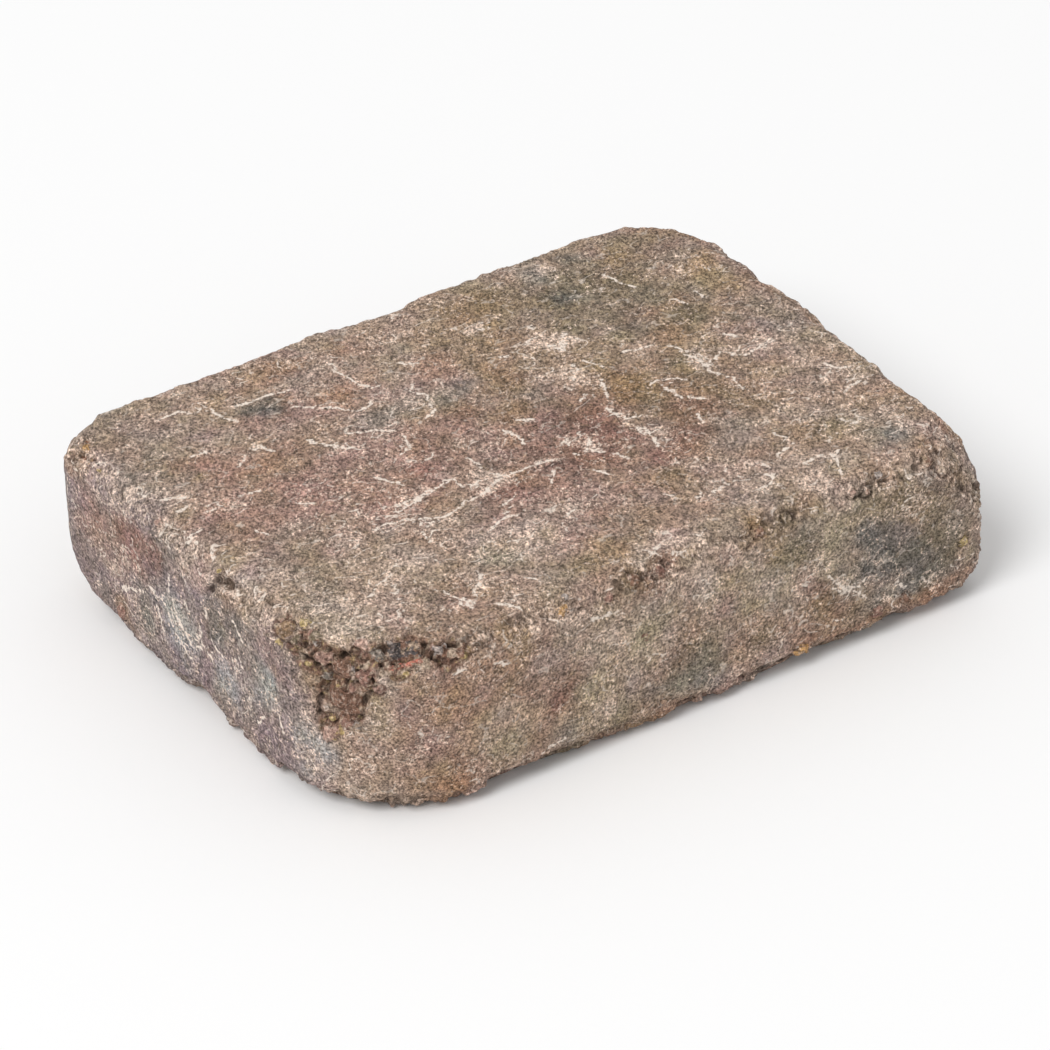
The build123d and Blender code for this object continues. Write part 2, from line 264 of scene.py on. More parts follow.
LEFT_TINTS = {
    "mauve": [(48, 32, 16, 13), (-35, 32, 9, 10), (30, 33, 10, 9)],
    "plum": [(33, 36, 9, 7), (-2, 45, 5, 5), (-8, 36, 5, 5), (20, 38, 5, 6)],
    "ochre": [(-52, 40, 8, 6), (-22, 45, 7, 4)],
    "umber": [(60, 46, 9, 6), (-18, 40, 5, 4), (40, 11, 5, 3), (-14, 46, 6, 4)],
    "slate": [
        (26, 15, 9, 8), (-26, 25, 8, 10), (5, 15, 6, 6), (70, 30, 6, 16), (-14, 14, 9, 6),
        (-10, 36, 8, 7),
    ],
    "blue": [(-11, 31, 5, 6), (-34, 30, 4, 7), (26, 16, 5, 5), (-20, 37, 5, 4)],
    "chalk": [(9, 22, 8, 9), (-33, 29, 8, 11), (-14, 18, 8, 6), (-52, 18, 9, 7)],
    "pale": [(43, 23, 5, 4), (-1, 44, 9, 4), (-28, 45, 6, 4), (-54, 32, 6, 6)],
}
LEFT_LIME = [
    (43, 23, 5, 3, 0.5), (28, 26, 9, 2.5, 0.5), (8, 24, 5, 6, 0.3), (-9, 18, 5, 5, 0.2),
    (-25, 21, 5, 8, 0.25), (-43, 30, 5, 8, 0.15), (-57, 25, 10, 8, 0.2), (0, 44, 10, 5, 0.4),
    (34, 45, 14, 4, 0.5), (60, 46, 10, 4, 0.4), (-35, 17, 8, 4, 0.2),
]

# Streaks of lime: width, then their bends, in the same measures

TOP_STREAKS = [
    (0.45, (-54, 52.5), (-45, 52.2), (-38, 51)),
    (0.55, (-42, 44), (-37, 39.4), (-32.5, 36.3), (-29, 31.9)),
    (0.5, (-29, 31.9), (-25, 32.5), (-22, 34.4)),
    (0.6, (-47.8, 27.8), (-45, 22.5), (-41, 18), (-38, 16.3)),
    (0.4, (-38, 24.4), (-32.5, 21.9), (-26.3, 18.5)), (0.5, (-11.3, 23.8), (-13, 20), (-17, 18)),
    (0.45, (-9.4, 34.4), (-12.5, 31.9), (-10.6, 28), (-11, 25)),
    (0.5, (-22.3, 56.3), (-22.8, 50.6), (-21.5, 42.5)), (0.6, (-21.5, 42.5), (-20, 38.8), (-17, 39.4)),
    (0.7, (-76.3, 38.5), (-71.5, 38.4)), (0.5, (-60, 34), (-57, 28)),
    (0.5, (-43, 2.5), (-41.3, -1.3), (-39, -5.6)), (0.45, (-81, -0.6), (-79.4, -5)),
    (0.55, (-49.4, -11), (-41.3, -12.5), (-33.8, -11.3), (-27.5, -10)),
    (0.45, (-47.5, -15), (-41.3, -14), (-32.5, -11.5)),
    (0.5, (-45, -24.4), (-35, -23), (-30, -21), (-23.8, -20.6)),
    (0.6, (-23.8, -20.6), (-20, -18), (-15.6, -17)), (0.4, (-27, -10), (-27.3, -15)),
    (0.5, (-3.8, 1.9), (-1.9, -2.5), (-3, -7.5)), (0.7, (31.3, 7.5), (28.8, 1.3), (27, -3.8)),
    (0.7, (26.3, -18.8), (25.6, -25), (24.4, -29.4)), (0.7, (23.8, -5), (25, -11.3), (30.6, -14.8)),
    (0.6, (32.5, 18), (35.6, 11.3)), (0.8, (23.8, 3.8), (20.6, 1.3)),
    (0.5, (40, -2.5), (45, -2.3), (49.4, -6.3)), (0.6, (42.5, -5.6), (43, -11.3), (48, -17.5)),
    (0.5, (56.3, 5), (57.8, 0), (57, -6.3)), (0.5, (57, -6.3), (59.4, -12.5), (58.8, -18.8)),
    (0.4, (61.3, -2.5), (65, 0)), (0.9, (18, -55), (23, -54.4), (27, -53.8)),
    (0.6, (20, -54.6), (18.6, -53.2)), (0.5, (33, -60.6), (38, -59.4), (40.6, -56.3), (38.8, -55)),
    (0.4, (52, -40.6), (53.8, -45)), (0.4, (55, -67.5), (57, -61.3), (61.3, -57)),
    (0.5, (62.5, 51.3), (63.8, 45), (66, 40.6)), (0.6, (78, 30), (77.5, 25)),
    (0.6, (83, -21), (85, -25), (88, -26.3)), (0.5, (13, -47.5), (13.8, -51.3)),
    (0.6, (-57.5, -58.8), (-55.6, -62.5)), (0.6, (-38, -58.8), (-35.6, -62.5)),
    (0.6, (4.4, -18.8), (7.5, -20), (13, -14.4)), (0.4, (-87.5, 13.8), (-83.8, 14)),
    (0.5, (-93.4, 25.5), (-87, 22.7)), (0.5, (-93, 18.3), (-89, 18.4)), (0.4, (-99, 6), (-92, 8)),
    (0.4, (-74, 58.5), (-68, 59.5), (-62, 55)), (0.5, (-60.5, 60), (-60, 52), (-57.5, 45.6)),
    (0.4, (-69, 27), (-64, 31)), (0.5, (-76, 15.4), (-70, 14.5)),
    (0.5, (-57, -18), (-48, -18.8), (-41, -23.5)), (0.5, (-48, -31.5), (-47.5, -26)),
    (0.5, (-59, -50), (-56, -57), (-54, -61)), (0.5, (-52, -57.5), (-46, -51)),
    (0.5, (-50, -64), (-46, -70)), (0.4, (-28, 1), (-24, 3)), (0.4, (-26, 15), (-27.5, 10)),
    (0.4, (-19, -4), (-18, -9)), (0.5, (-15.6, -17), (-8, -16.5), (0, -18)),
    (0.7, (-8, 45.5), (-3, 42.5)), (0.4, (25.5, -17.5), (25, -20.6)),
    (0.8, (25, 11), (28, 14.5), (30, 18)), (1.1, (29, 29), (33, 28), (37, 32)),
    (1.0, (31, 25), (34, 30)), (0.9, (19, 47.5), (22.5, 46.5)), (0.7, (15.6, 32.5), (18.8, 31)),
    (0.6, (22, 29), (23.8, 25)), (0.6, (43.5, 15.5), (48, 13.5), (52, 13)),
    (0.5, (55.6, 11), (57.5, 6), (59.6, 1)), (0.5, (40.6, -26.3), (42, -21.3)),
    (0.4, (47, -50), (53.8, -47.5)), (0.5, (50, -57.8), (53, -56.5), (56.5, -57)),
    (0.5, (70.5, 7), (73, 4)), (0.5, (79, -35), (86, -33)), (0.5, (72, -50), (75, -48.5)),
    (0.5, (66, -2), (70, -5), (76, -4)), (0.5, (4, -28), (7, -33)), (0.4, (-4, -22), (-8, -27)),
    (0.5, (13, -24), (15, -29)), (0.4, (2, 4), (6, 1)), (0.5, (-34, -36), (-28, -33), (-22, -34)),
    (0.4, (-70, -40), (-64, -38)), (0.4, (-14, -42), (-9, -40)), (0.4, (70, 30), (72, 25)),
    (0.4, (-32, 8), (-27, 9)), (0.4, (-66, 4), (-62, 1)), (0.4, (-24, -28), (-18, -26)),
]
FRONT_STREAKS = [
    (0.6, (-28.7, 41.7), (-22, 41.2)), (0.6, (-57.7, 40.3), (-53.2, 38.6)),
    (0.5, (-70, 42), (-66, 41.8)), (0.5, (-44.4, 7.5), (-36.7, 9.6)),
    (0.7, (45, 26), (50.2, 20.6), (57.7, 14.3)), (0.6, (48.6, 20), (57.6, 20.2)),
    (0.7, (67.4, 15.7), (70, 12.2)), (0.7, (47, 11.8), (50, 10.5)),
]
LEFT_STREAKS = [
    (0.6, (24, 26.7), (15.7, 25.6)), (0.6, (11, 18.9), (3, 14.6)), (0.6, (1.1, 24.3), (-8.6, 19.6)),
    (0.6, (-17.7, 39.9), (-23, 34.5)), (1.0, (32, 21.4), (24.3, 24)), (0.5, (-4.8, 34.9), (-4.9, 31.3)),
    (0.6, (12, 36.5), (13.7, 31)), (0.8, (38, 17.8), (31, 22.3)), (0.5, (-18, 27), (-19.5, 22.2)),
    (0.7, (13, 30), (9, 24), (2, 19)), (0.6, (16, 27), (12, 21)), (0.5, (-1, 29), (-2, 25)),
    (0.4, (-7, 27), (-13, 24)), (0.4, (-25, 20), (-25, 15)), (0.4, (-20, 30), (-22, 26)),
    (0.4, (-38, 23), (-41, 17)), (0.4, (-28, 13), (-32, 17)), (0.4, (3, 19), (-3, 22)),
    (0.5, (20, 23), (17, 16)), (0.4, (6, 32), (3, 29)), (0.4, (-50, 27), (-53, 21)),
]

# What is laid on each face: patches of colour, lime and streaks
LAID = {"top": (TOP_TINTS, TOP_LIME, TOP_STREAKS), "front": (FRONT_TINTS, FRONT_LIME, FRONT_STREAKS),
        "left": (LEFT_TINTS, LEFT_LIME, LEFT_STREAKS)}
OUTWARD = {"top": (0, 0, 1), "front": (0, -1, 0), "left": (-1, 0, 0)}


# Relief: depths and sizes in millimetres

LEAST_DEPTH = 0.10
SAND_DEPTH = 0.22
SAND_SIZE = 2.2
SWELL_DEPTH = 0.25
SWELL_SIZE = 9.0
# The sides are rubbed in marks that run upwards, and dented
RUB_DEPTH = 0.40
RUB_SIZE = 1.8
RUB_DRAWN_OUT = (1.0, 1.0, 0.22)
DENT_DEPTH = 0.45
DENT_SIZE = 5.0
SIDE_LIFT = 0.25
# The arrises are crumbs of two sizes on larger lumps
CRUMB_SIZE = 2.6
FINE_CRUMB_SIZE = 1.35
CRUMB_CAP = 0.7
FINE_CRUMB_SHARE = 0.6
LUMP_DEPTH = 2.0
LUMP_SIZE = 6.5
KNOB_SIZE = 3.2
CLUMP_SIZE = 11.0
# The bed has a torn lip below this height
BED_LIP_TOP = 8.0
BED_SIDE_DEPTH = 1.2
BED_ARRIS_DEPTH = 1.7
# A bared stone bulges inside its rim and has a groove along it
STONE_REACH = 3.0
STONE_BULGE = 0.75
STONE_GROOVE = 0.7
# Depths are divided by this for the painted shade in deep places
DEEPEST = 4.0
STREAK_REACH = 4.0

# Where there is no stone: a colour, and the depth inside its rim. Where there is no streak: the gap to its
# line, how far past its ends, a width and a share
NO_STONE = (0.2, 0.15, 0.12, -STONE_REACH)
NO_STREAK = (STREAK_REACH, STREAK_REACH, 0.5, 0.0)

# The paste's seeded mottling, strongest on the sides that the photo doesn't show: strength, size, seed, and
# the noise where it starts and is full
MOTTLES = {
    "mauve": (1.0, 24.0, 71, 0.42, 0.60),
    "umber": (0.8, 22.0, 81, 0.52, 0.68),
    "slate": (0.8, 20.0, 91, 0.52, 0.68),
}
# The rims of all patches wander by up to half of this, in millimetres
WANDER = 13.0
WANDER_SIZE = 8.0
WIDE_PATCH = 24
PATCH_STRENGTH = 0.62
WIDE_PATCH_STRENGTH = 0.55
PATCH_THICKNESS = 9.0
# The paste's red and blue swing by these shares about its colour
RED_SWING = 0.26
BLUE_SWING = 0.40
SWING_SIZE = 7.0

# Noise from lattices of random values that repeat, turned so that their planes don't lie along the block's
LATTICE_CELLS = 64
LATTICE = np.random.default_rng(5).random((LATTICE_CELLS,) * 3)
JITTER_CELLS = 32
TURN = np.array(Matrix.Rotation(0.6, 3, Vector((1, 2, 3))))
NOISE_SEED_STEP = 9.7
GRAIN_SEED_STEP = 5.3


def smooth(value, start, end):
    """0 before start, 1 after end and an even S between them."""
    share = np.clip((value - start) / (end - start), 0, 1)
    return share * share * (3 - 2 * share)


def noise(place, size, seed):
    """Smooth noise from 0 to 1 with lumps of that size."""
    spot = place @ TURN / size + seed * NOISE_SEED_STEP
    cell = np.floor(spot).astype(int)
    part = spot - cell
    part = part * part * (3 - 2 * part)
    total = np.zeros(len(place))
    for corner in itertools.product((0, 1), repeat=3):
        weight = np.where(corner, part, 1 - part).prod(axis=1)
        total += weight * LATTICE[tuple(((cell + corner) % LATTICE_CELLS).T)]
    return total


def rough(place, size, seed, layers=3):
    """Noise with finer noise on it, still about 0 to 1."""
    parts = [noise(place, size / 2 ** i, seed + i) / 2 ** i for i in range(layers)]
    return sum(parts) / sum(1 / 2 ** i for i in range(layers))


def grains(place, size, seed):
    """How far from the middle of the nearest grain, in grain sizes, and the grain's number from 0 to 1."""
    spot = place @ TURN / size + seed * GRAIN_SEED_STEP
    cell = np.floor(spot).astype(int)
    near = np.full(len(place), 9.0)
    number = np.zeros(len(place))
    shift = np.random.default_rng(seed).random((JITTER_CELLS, JITTER_CELLS, JITTER_CELLS, 3))
    for step in itertools.product((-1, 0, 1), repeat=3):
        home = cell + step
        jitter = shift[tuple((home % JITTER_CELLS).T)]
        gap = np.linalg.norm(home + jitter - spot, axis=1)
        closer = gap < near
        number = np.where(closer, jitter[:, 0] * 7.31 % 1, number)
        near = np.where(closer, gap, near)
    return near, number


def line_gap(place, start, end):
    """Distance of each place from the straight line between two points."""
    run = np.subtract(end, start)
    along = np.clip((place - start) @ run / max(run @ run, 1e-9), 0, 1)
    return np.linalg.norm(place - start - along[:, None] * run, axis=1)


def close_to(place, start, end, reach):
    """The numbers of the places that are near enough to a short line to be changed by it."""
    middle = np.add(start, end) / 2
    half = np.abs(np.subtract(end, start)) / 2 + reach
    return np.flatnonzero((np.abs(place - middle) < half).all(axis=1))


def broken_share(place):
    """1 in the broken-out corner, 0 away from it."""
    wobble = rough(place, 4.5, 31) - 0.5
    share = np.zeros(len(place))
    for centre, radius in BROKEN:
        gap = np.linalg.norm(place - centre, axis=1) / radius
        share = np.maximum(share, 1 - smooth(gap + wobble, 0.75, 1.1))
    return share


def clump_share(place):
    """How lumpy an arris is: a little everywhere, more in seeded patches, most in the ragged places."""
    wobble = (rough(place, 5.0, 31) - 0.5) * 0.7
    clump = 0.3 + 0.5 * smooth(rough(place, CLUMP_SIZE, 33), 0.45, 0.60)
    for centre, radius in RAGGED:
        gap = np.linalg.norm(place - centre, axis=1) / radius
        clump = np.maximum(clump, 1.2 * (1 - smooth(gap + wobble, 0.6, 1.2)))
    return clump


def crumb_domes(place, size, seed, kept, lost_depth):
    """Crumbs, high in their middles, with a hole for each one whose number is above the kept share."""
    near, number = grains(place, size, seed)
    return near ** 2 - 0.3 + lost_depth * (number > kept) * (1 - smooth(near, 0.3, 0.6))


def hollow_pit(place, sunk, start, end, half_width, depth):
    """Sinks the places along a short line."""
    near = close_to(place, start, end, half_width * 1.5)
    wobble = (noise(place[near], half_width * 1.2, 12) - 0.5) * 0.7
    gap = line_gap(place[near], start, end) / half_width
    sunk[near] += depth * (1 - smooth(gap + wobble, 0.35, 1.15))


def sink_pits(place, sunk):
    """Sinks the pits that the photo shows, then small seeded ones all over the block."""
    for pit in PITS:
        hollow_pit(place, sunk, *pit)
    chance = np.random.default_rng(11)
    for index in chance.choice(len(place), SEEDED_PITS, replace=False):
        half = chance.uniform(*SEEDED_PIT_WIDTHS)
        hollow_pit(place, sunk, place[index], place[index] + chance.normal(0, half * 0.5, 3), half, half)


def seen_stones():
    """Every bared stone as its ends, radius and colour name: those of the photo, then seeded small ones."""
    found = [(centre, centre, radius, name) for centre, radius, name in STONES] + SPLINTERS
    chance = np.random.default_rng(23)
    for _ in range(SEEDED_STONES):
        centre, reach = BROKEN[chance.integers(len(BROKEN))]
        centre = np.array(centre) + chance.normal(0, reach * 0.5, 3)
        radius = chance.uniform(*SEEDED_STONE_RADII)
        found.append((centre, centre, radius, str(chance.choice(SEEDED_STONE_COLOURS))))
    return found


def stone_marks(place):
    """Colour of the nearest bared stone, and how far inside its rim each place is, in millimetres."""
    marks = np.tile(NO_STONE, (len(place), 1))
    wobble = noise(place, 2.0, 27) - 0.5
    for start, end, radius, name in seen_stones():
        near = close_to(place, start, end, radius + STONE_REACH)
        inside = radius * (1 + 0.7 * wobble[near]) - line_gap(place[near], start, end)
        nearer = inside > marks[near, 3]
        marks[near[nearer], :3] = linear(name)[:3]
        marks[near[nearer], 3] = inside[nearer]
    return marks


def upright_corner(normal):
    """1 on the tight upright corner at the front right, 0 on the flat sides."""
    turned = smooth(np.minimum(normal[:, 0], -normal[:, 1]), 0.1, 0.5)
    return turned * (np.abs(normal[:, 2]) < 0.7)


def chalk_share(place, arris, rugged, crumbs):
    """Where the arrises are pale with lime, and the tops of their crumbs pale as a painted highlight: less
    along the front, and not near the bed.
    """
    above_bed = smooth(place[:, 2], 8, 16)
    along_arris = arris * (1 - 0.75 * smooth(-place[:, 1], 60, 70)) * above_bed
    return np.maximum(along_arris, 1.5 * rugged * (1 - smooth(crumbs, -0.4, 0.0)) * above_bed)


def relief(place, normal):
    """How far each place sinks below the moulded and worn surface, and the masks that the material needs,
    among them painted highlight and painted shade.
    """
    slope = np.abs(normal[:, 2])
    arris = smooth(slope, 0.06, 0.35) * (1 - smooth(slope, 0.93, 0.995))
    side = 1 - smooth(slope, 0.15, 0.6)
    bed = 1 - smooth(place[:, 2], 1.5, BED_LIP_TOP)
    broken = broken_share(place)

    sunk = LEAST_DEPTH + SAND_DEPTH * rough(place, SAND_SIZE, 1) + SWELL_DEPTH * rough(place, SWELL_SIZE, 4)
    rubbed = RUB_DEPTH * rough(place * RUB_DRAWN_OUT, RUB_SIZE, 7)
    sunk += side * (rubbed + DENT_DEPTH * rough(place, DENT_SIZE, 8) - SIDE_LIFT)

    dome = crumb_domes(place, CRUMB_SIZE, 3, 0.80, 1.6)
    fine_dome = crumb_domes(place, FINE_CRUMB_SIZE, 4, 0.82, 1.5)
    crumbs = np.minimum(dome, CRUMB_CAP) + FINE_CRUMB_SHARE * np.minimum(fine_dome, CRUMB_CAP)
    lumps = LUMP_DEPTH * (rough(place, LUMP_SIZE, 15) - 0.45) + (rough(place, KNOB_SIZE, 37) - 0.45)
    rugged = np.maximum(arris, upright_corner(normal)) * clump_share(place)
    sunk += rugged * (crumbs + 1.2 * (rough(place, 6.0, 35) - 0.4)) + arris * lumps
    torn = smooth(rough(place, 6.0, 21), 0.42, 0.58)
    sunk += bed * side * BED_SIDE_DEPTH * torn + bed * arris * (BED_ARRIS_DEPTH * torn + 0.8 * crumbs)

    inside = stone_marks(place)[:, 3]
    between_stones = 1 - smooth(inside, -0.3, 0.4)
    rubble = broken * (1.1 * dome + 0.8 * fine_dome + (rough(place, KNOB_SIZE, 25) - 0.35))
    groove = 1 - smooth(np.abs(inside + 0.25), 0.0, 0.6)
    sunk += between_stones * rubble
    sunk += STONE_GROOVE * groove - STONE_BULGE * np.sqrt(np.clip(inside, 0, None))
    sink_pits(place, sunk)

    # Painted shade: the hollow share and the depth share darken the material as shade in the hollows between
    # crumbs and in deep places
    hollow_shade = np.maximum(0.8 * rugged ** 2, broken) * smooth(crumbs, 0.0, 0.7) * between_stones
    # Pale arrises with lime, and a painted highlight on the tops of their crumbs
    chalk_and_highlight = chalk_share(place, arris, rugged, crumbs)
    return sunk, np.stack([chalk_and_highlight, broken, hollow_shade, np.clip(sunk / DEEPEST, 0, 1)], axis=1)


def face_place(face, along, across):
    """A place in millimetres from its two measures on a face."""
    return np.array({"top": (along, across, HIGH[2]), "front": (along, LOW[1], across),
                     "left": (LOW[0], along, across)}[face])


def patch_reach(face, along, across):
    """The half sizes of a patch on a face, which also reaches a little into the block."""
    return np.array({"top": (along, across, PATCH_THICKNESS), "front": (along, PATCH_THICKNESS, across),
                     "left": (PATCH_THICKNESS, along, across)}[face])


def patch_share(bent, face, along, across, half_long, half_wide):
    """1 in the middle of a soft patch, 0 beyond its rim."""
    away = (bent - face_place(face, along, across)) / patch_reach(face, half_long, half_wide)
    return 1 - smooth(np.linalg.norm(away, axis=1), 0.3, 1.3)


def tint(place):
    """The mottled colour of the paste at each place, and how much of it lime covers."""
    wander = np.stack([rough(place, WANDER_SIZE, seed, 4) for seed in (41, 51, 61)], axis=1) - 0.5
    bent = place + WANDER * wander
    colour = np.array([linear("taupe")[:3]] * len(place))

    def lay(share, name):
        colour[:] += share[:, None] * (np.array(linear(name)[:3]) - colour)

    hidden = smooth(place[:, 0], 88, 97) + smooth(place[:, 1], 66, 73) + 1 - smooth(place[:, 2], 2, 8)
    free = np.clip(hidden, 0.25, 0.7)
    for name, (strength, size, seed, start, end) in MOTTLES.items():
        lay(strength * free * smooth(rough(place, size, seed), start, end), name)
    lay(1 - smooth(place[:, 0] - LOW[0], 0.5, 7.0), "dusk")
    lime = 0.35 * smooth(rough(place, 13.0, 101, 4), 0.46, 0.68)
    for face, (tints, blooms, _) in LAID.items():
        for name, patches in tints.items():
            for patch in patches:
                strength = PATCH_STRENGTH if max(patch[2:]) < WIDE_PATCH else WIDE_PATCH_STRENGTH
                lay(strength * patch_share(bent, face, *patch), name)
        for *patch, strength in blooms:
            lime = np.maximum(lime, strength * patch_share(bent, face, *patch))
    colour[:, 0] *= 1 + RED_SWING * (rough(place, SWING_SIZE, 111, 4) - 0.5)
    colour[:, 2] *= 1 + BLUE_SWING * (rough(place, SWING_SIZE, 121, 4) - 0.5)
    return np.column_stack([colour, lime])


def streak_marks(place):
    """The gap to the nearest streak's line, how far past its ends, its width, and a share that fades with the
    distance. The gap has a sign, so that it runs evenly through 0 across a mesh triangle on the line."""
    marks = np.tile(NO_STREAK, (len(place), 1))
    for face, (_, _, streaks) in LAID.items():
        for width, *bends in streaks:
            ends = [face_place(face, *bend) for bend in bends]
            for start, end in zip(ends, ends[1:]):
                lay_streak(marks, place, start, end, width, OUTWARD[face])
    return marks


def lay_streak(marks, place, start, end, width, outward):
    """Writes one straight run of a streak where it is nearer than what is there."""
    run = end - start
    length = np.linalg.norm(run)
    run = run / length
    middle = start + run * length / 2
    near = np.flatnonzero(np.abs(place - middle).max(axis=1) < length / 2 + STREAK_REACH)
    away = place[near] - start
    along = away @ run
    gap = away @ np.cross(outward, run)
    past = np.maximum(-along, along - length)
    share = 1 - np.linalg.norm([gap, np.maximum(past, 0), away @ np.array(outward)], axis=0) / STREAK_REACH
    better = share > marks[near, 3]
    marks[near[better]] = np.stack([gap, past, np.full(len(near), width), share], axis=1)[better]


def vectors(mesh, key):
    """One of the mesh's vertex vectors as a table with three columns."""
    values = np.empty(len(mesh.vertices) * 3)
    mesh.vertices.foreach_get(key, values)
    return values.reshape(-1, 3)


def move(mesh, place):
    """Moves the vertices to these places in millimetres, those outside the CAD box onto its faces."""
    place = np.clip(place, LOW, HIGH)
    mesh.vertices.foreach_set("co", (place * MM).ravel())
    return place


def keep(mesh, name, values):
    """Stores four numbers for each vertex under that name."""
    mesh.attributes.new(name, "FLOAT_COLOR", "POINT").data.foreach_set("color", values.ravel())


def triangles(mesh):
    """How many triangles the mesh's faces come to."""
    return sum(len(polygon.vertices) - 2 for polygon in mesh.polygons)


def modify(piece, kind, **settings):
    """Adds a modifier."""
    modifier = piece.modifiers.new(kind.lower(), kind)
    for name, value in settings.items():
        setattr(modifier, name, value)


def apply_modifiers(piece):
    """Writes the modifiers' result into the mesh."""
    result = bpy.data.meshes.new_from_object(piece.evaluated_get(bpy.context.evaluated_depsgraph_get()))
    piece.modifiers.clear()
    piece.data = result


def worn_copy(node):
    """A copy of the CAD node with its grain, pits and ragged arrises as real relief."""
    piece = bpy.data.objects.new("paver_cast", node.data.copy())
    bpy.context.scene.collection.objects.link(piece)
    modify(piece, "REMESH", mode="VOXEL", voxel_size=VOXEL * MM)
    modify(piece, "SMOOTH", iterations=SOFTENING)
    apply_modifiers(piece)

    place = vectors(piece.data, "co") / MM
    normal = vectors(piece.data, "normal")
    sunk, masks = relief(place, normal)
    # Kept masks: pale arrises with a painted highlight on crumb tops, the broken corner, painted shade in
    # hollows, and painted shade by depth
    keep(piece.data, "wear_light_and_shade", masks)
    move(piece.data, place - normal * sunk[:, None])
    modify(piece, "DECIMATE", ratio=min(1, TRIANGLES / triangles(piece.data)))
    apply_modifiers(piece)
    piece.data.polygons.foreach_set("use_smooth", [True] * len(piece.data.polygons))
    print("paver_cast:", triangles(piece.data), "triangles")

    place = move(piece.data, vectors(piece.data, "co") / MM)
    keep(piece.data, "tint", tint(place))
    keep(piece.data, "streak", streak_marks(place))
    keep(piece.data, "stone", stone_marks(place))
    return piece


# The material: sizes in millimetres

FINE_LIME_SIZE = 0.9
LIME_CLUSTER_SIZE = 5.5
LIME_STROKE_SIZE = 2.2
COARSE_SAND_SIZE = 0.9
FINE_SAND_SIZE = 0.62
SPECK_SIZE = 2.4
WORM_SIZE = 4.6
WORM_PATCH_SIZE = 4.0
FRAY_SIZE = 1.1
BEND_SIZE = 2.6
PIT_SPACING = 2.3
BARE_PASTE_SIZE = 2.0
BARE_LUMP_SIZE = 1.0
BUMP_DEPTH = 0.9
# Sand and lime are drawn out by this factor along one heading
GRAIN_HEADING = math.radians(-33)
GRAIN_LENGTH = 1.4
SHADER_SEED_STEP = (31.7, 17.9, 23.3)


class Shader:
    """Short calls for the shader nodes that a material is built from."""

    def __init__(self, material):
        material.use_nodes = True
        self.tree = material.node_tree
        self.tree.nodes.clear()

    def node(self, kind, inputs, **settings):
        made = self.tree.nodes.new(kind)
        for name, value in settings.items():
            setattr(made, name, value)
        for key, value in inputs.items():
            if isinstance(value, bpy.types.NodeSocket):
                self.tree.links.new(value, made.inputs[key])
            else:
                made.inputs[key].default_value = value
        return made

    def math(self, operation, *values):
        return self.node("ShaderNodeMath", dict(enumerate(values)), operation=operation).outputs[0]

    def add(self, first, second):
        return self.math("ADD", first, second)

    def subtract(self, first, second):
        return self.math("SUBTRACT", first, second)

    def times(self, first, second):
        return self.math("MULTIPLY", first, second)

    def most(self, first, second):
        return self.math("MAXIMUM", first, second)

    def size_of(self, value):
        return self.math("ABSOLUTE", value)

    def vector(self, operation, first, second):
        return self.node("ShaderNodeVectorMath", {0: first, 1: second}, operation=operation).outputs[0]

    def parts(self, vector):
        """The three parts of a vector or a colour."""
        return self.node("ShaderNodeSeparateXYZ", {0: vector}).outputs

    def attribute(self, name):
        """What the mesh keeps under that name: three numbers as Color and Vector, the fourth as Alpha."""
        return self.node("ShaderNodeAttribute", {}, attribute_name=name).outputs

    def between(self, value, start, end, low=0.0, high=1.0):
        """low before start, high after end and an even S between them."""
        inputs = {"Value": value, "From Min": start, "From Max": end, "To Min": low, "To Max": high}
        return self.node("ShaderNodeMapRange", inputs, interpolation_type="SMOOTHSTEP").outputs[0]

    def mix(self, share, first, second, blend="MIX"):
        inputs = {0: share, 6: first, 7: second}
        return self.node("ShaderNodeMix", inputs, data_type="RGBA", blend_type=blend).outputs[2]

    def shaded(self, colour, shade):
        """The colour made lighter or darker by that factor."""
        factor = self.node("ShaderNodeCombineXYZ", {0: shade, 1: shade, 2: shade}).outputs[0]
        return self.mix(1.0, colour, factor, "MULTIPLY")

    def moved(self, place, seed):
        return self.vector("ADD", place, tuple(seed * step for step in SHADER_SEED_STEP))

    def noise(self, place, size, seed, detail=2.0, roughness=0.5):
        """Noise as a number, its first output, and as a colour."""
        inputs = {"Vector": self.moved(place, seed), "Scale": 1 / size,
                  "Detail": detail, "Roughness": roughness}
        return self.node("ShaderNodeTexNoise", inputs).outputs

    def grains(self, place, size, seed):
        """Cells with a random colour each, and the distance from their middles."""
        inputs = {"Vector": self.moved(place, seed), "Scale": 1 / size}
        return self.node("ShaderNodeTexVoronoi", inputs).outputs


def lime_cover(g, place, lie, fine, lime, near_streak):
    """Crisp specks in clusters and thin strokes, more of them where the bloom is thick and beside streaks."""
    cluster = g.noise(place, LIME_CLUSTER_SIZE, 20, detail=3, roughness=0.55)[0]
    thick = g.add(g.times(g.subtract(cluster, 0.5), 0.70), g.times(lime, 0.24))
    thick = g.add(fine, g.add(thick, g.times(g.between(near_streak, 0.55, 0.95), 0.09)))
    stroke = g.noise(lie, LIME_STROKE_SIZE, 23, detail=3, roughness=0.6)[0]
    stroke = g.between(g.size_of(g.subtract(stroke, 0.5)), 0.040, 0.012)
    specks = g.times(g.between(thick, 0.66, 0.78), 0.52)
    return g.most(specks, g.times(g.times(stroke, g.between(thick, 0.55, 0.64)), 0.70))


def sand(g, colour, lie, fine_sand, speck):
    """Sand grains over the colour, some yellow or rusty, in light and dark specks."""
    tone = g.parts(g.grains(lie, COARSE_SAND_SIZE, 5)["Color"])
    colour = g.mix(g.between(tone[1], 0.93, 0.98, 0, 0.10), colour, linear("yellow"))
    colour = g.mix(g.between(tone[2], 0.94, 0.99, 0, 0.12), colour, linear("rust"))
    shade = g.times(g.between(tone[0], 0.0, 1.0, 0.79, 1.24), g.between(fine_sand, 0.28, 0.72, 0.30, 1.72))
    return g.shaded(colour, g.times(shade, g.between(speck, 0.30, 0.70, 0.80, 1.20)))


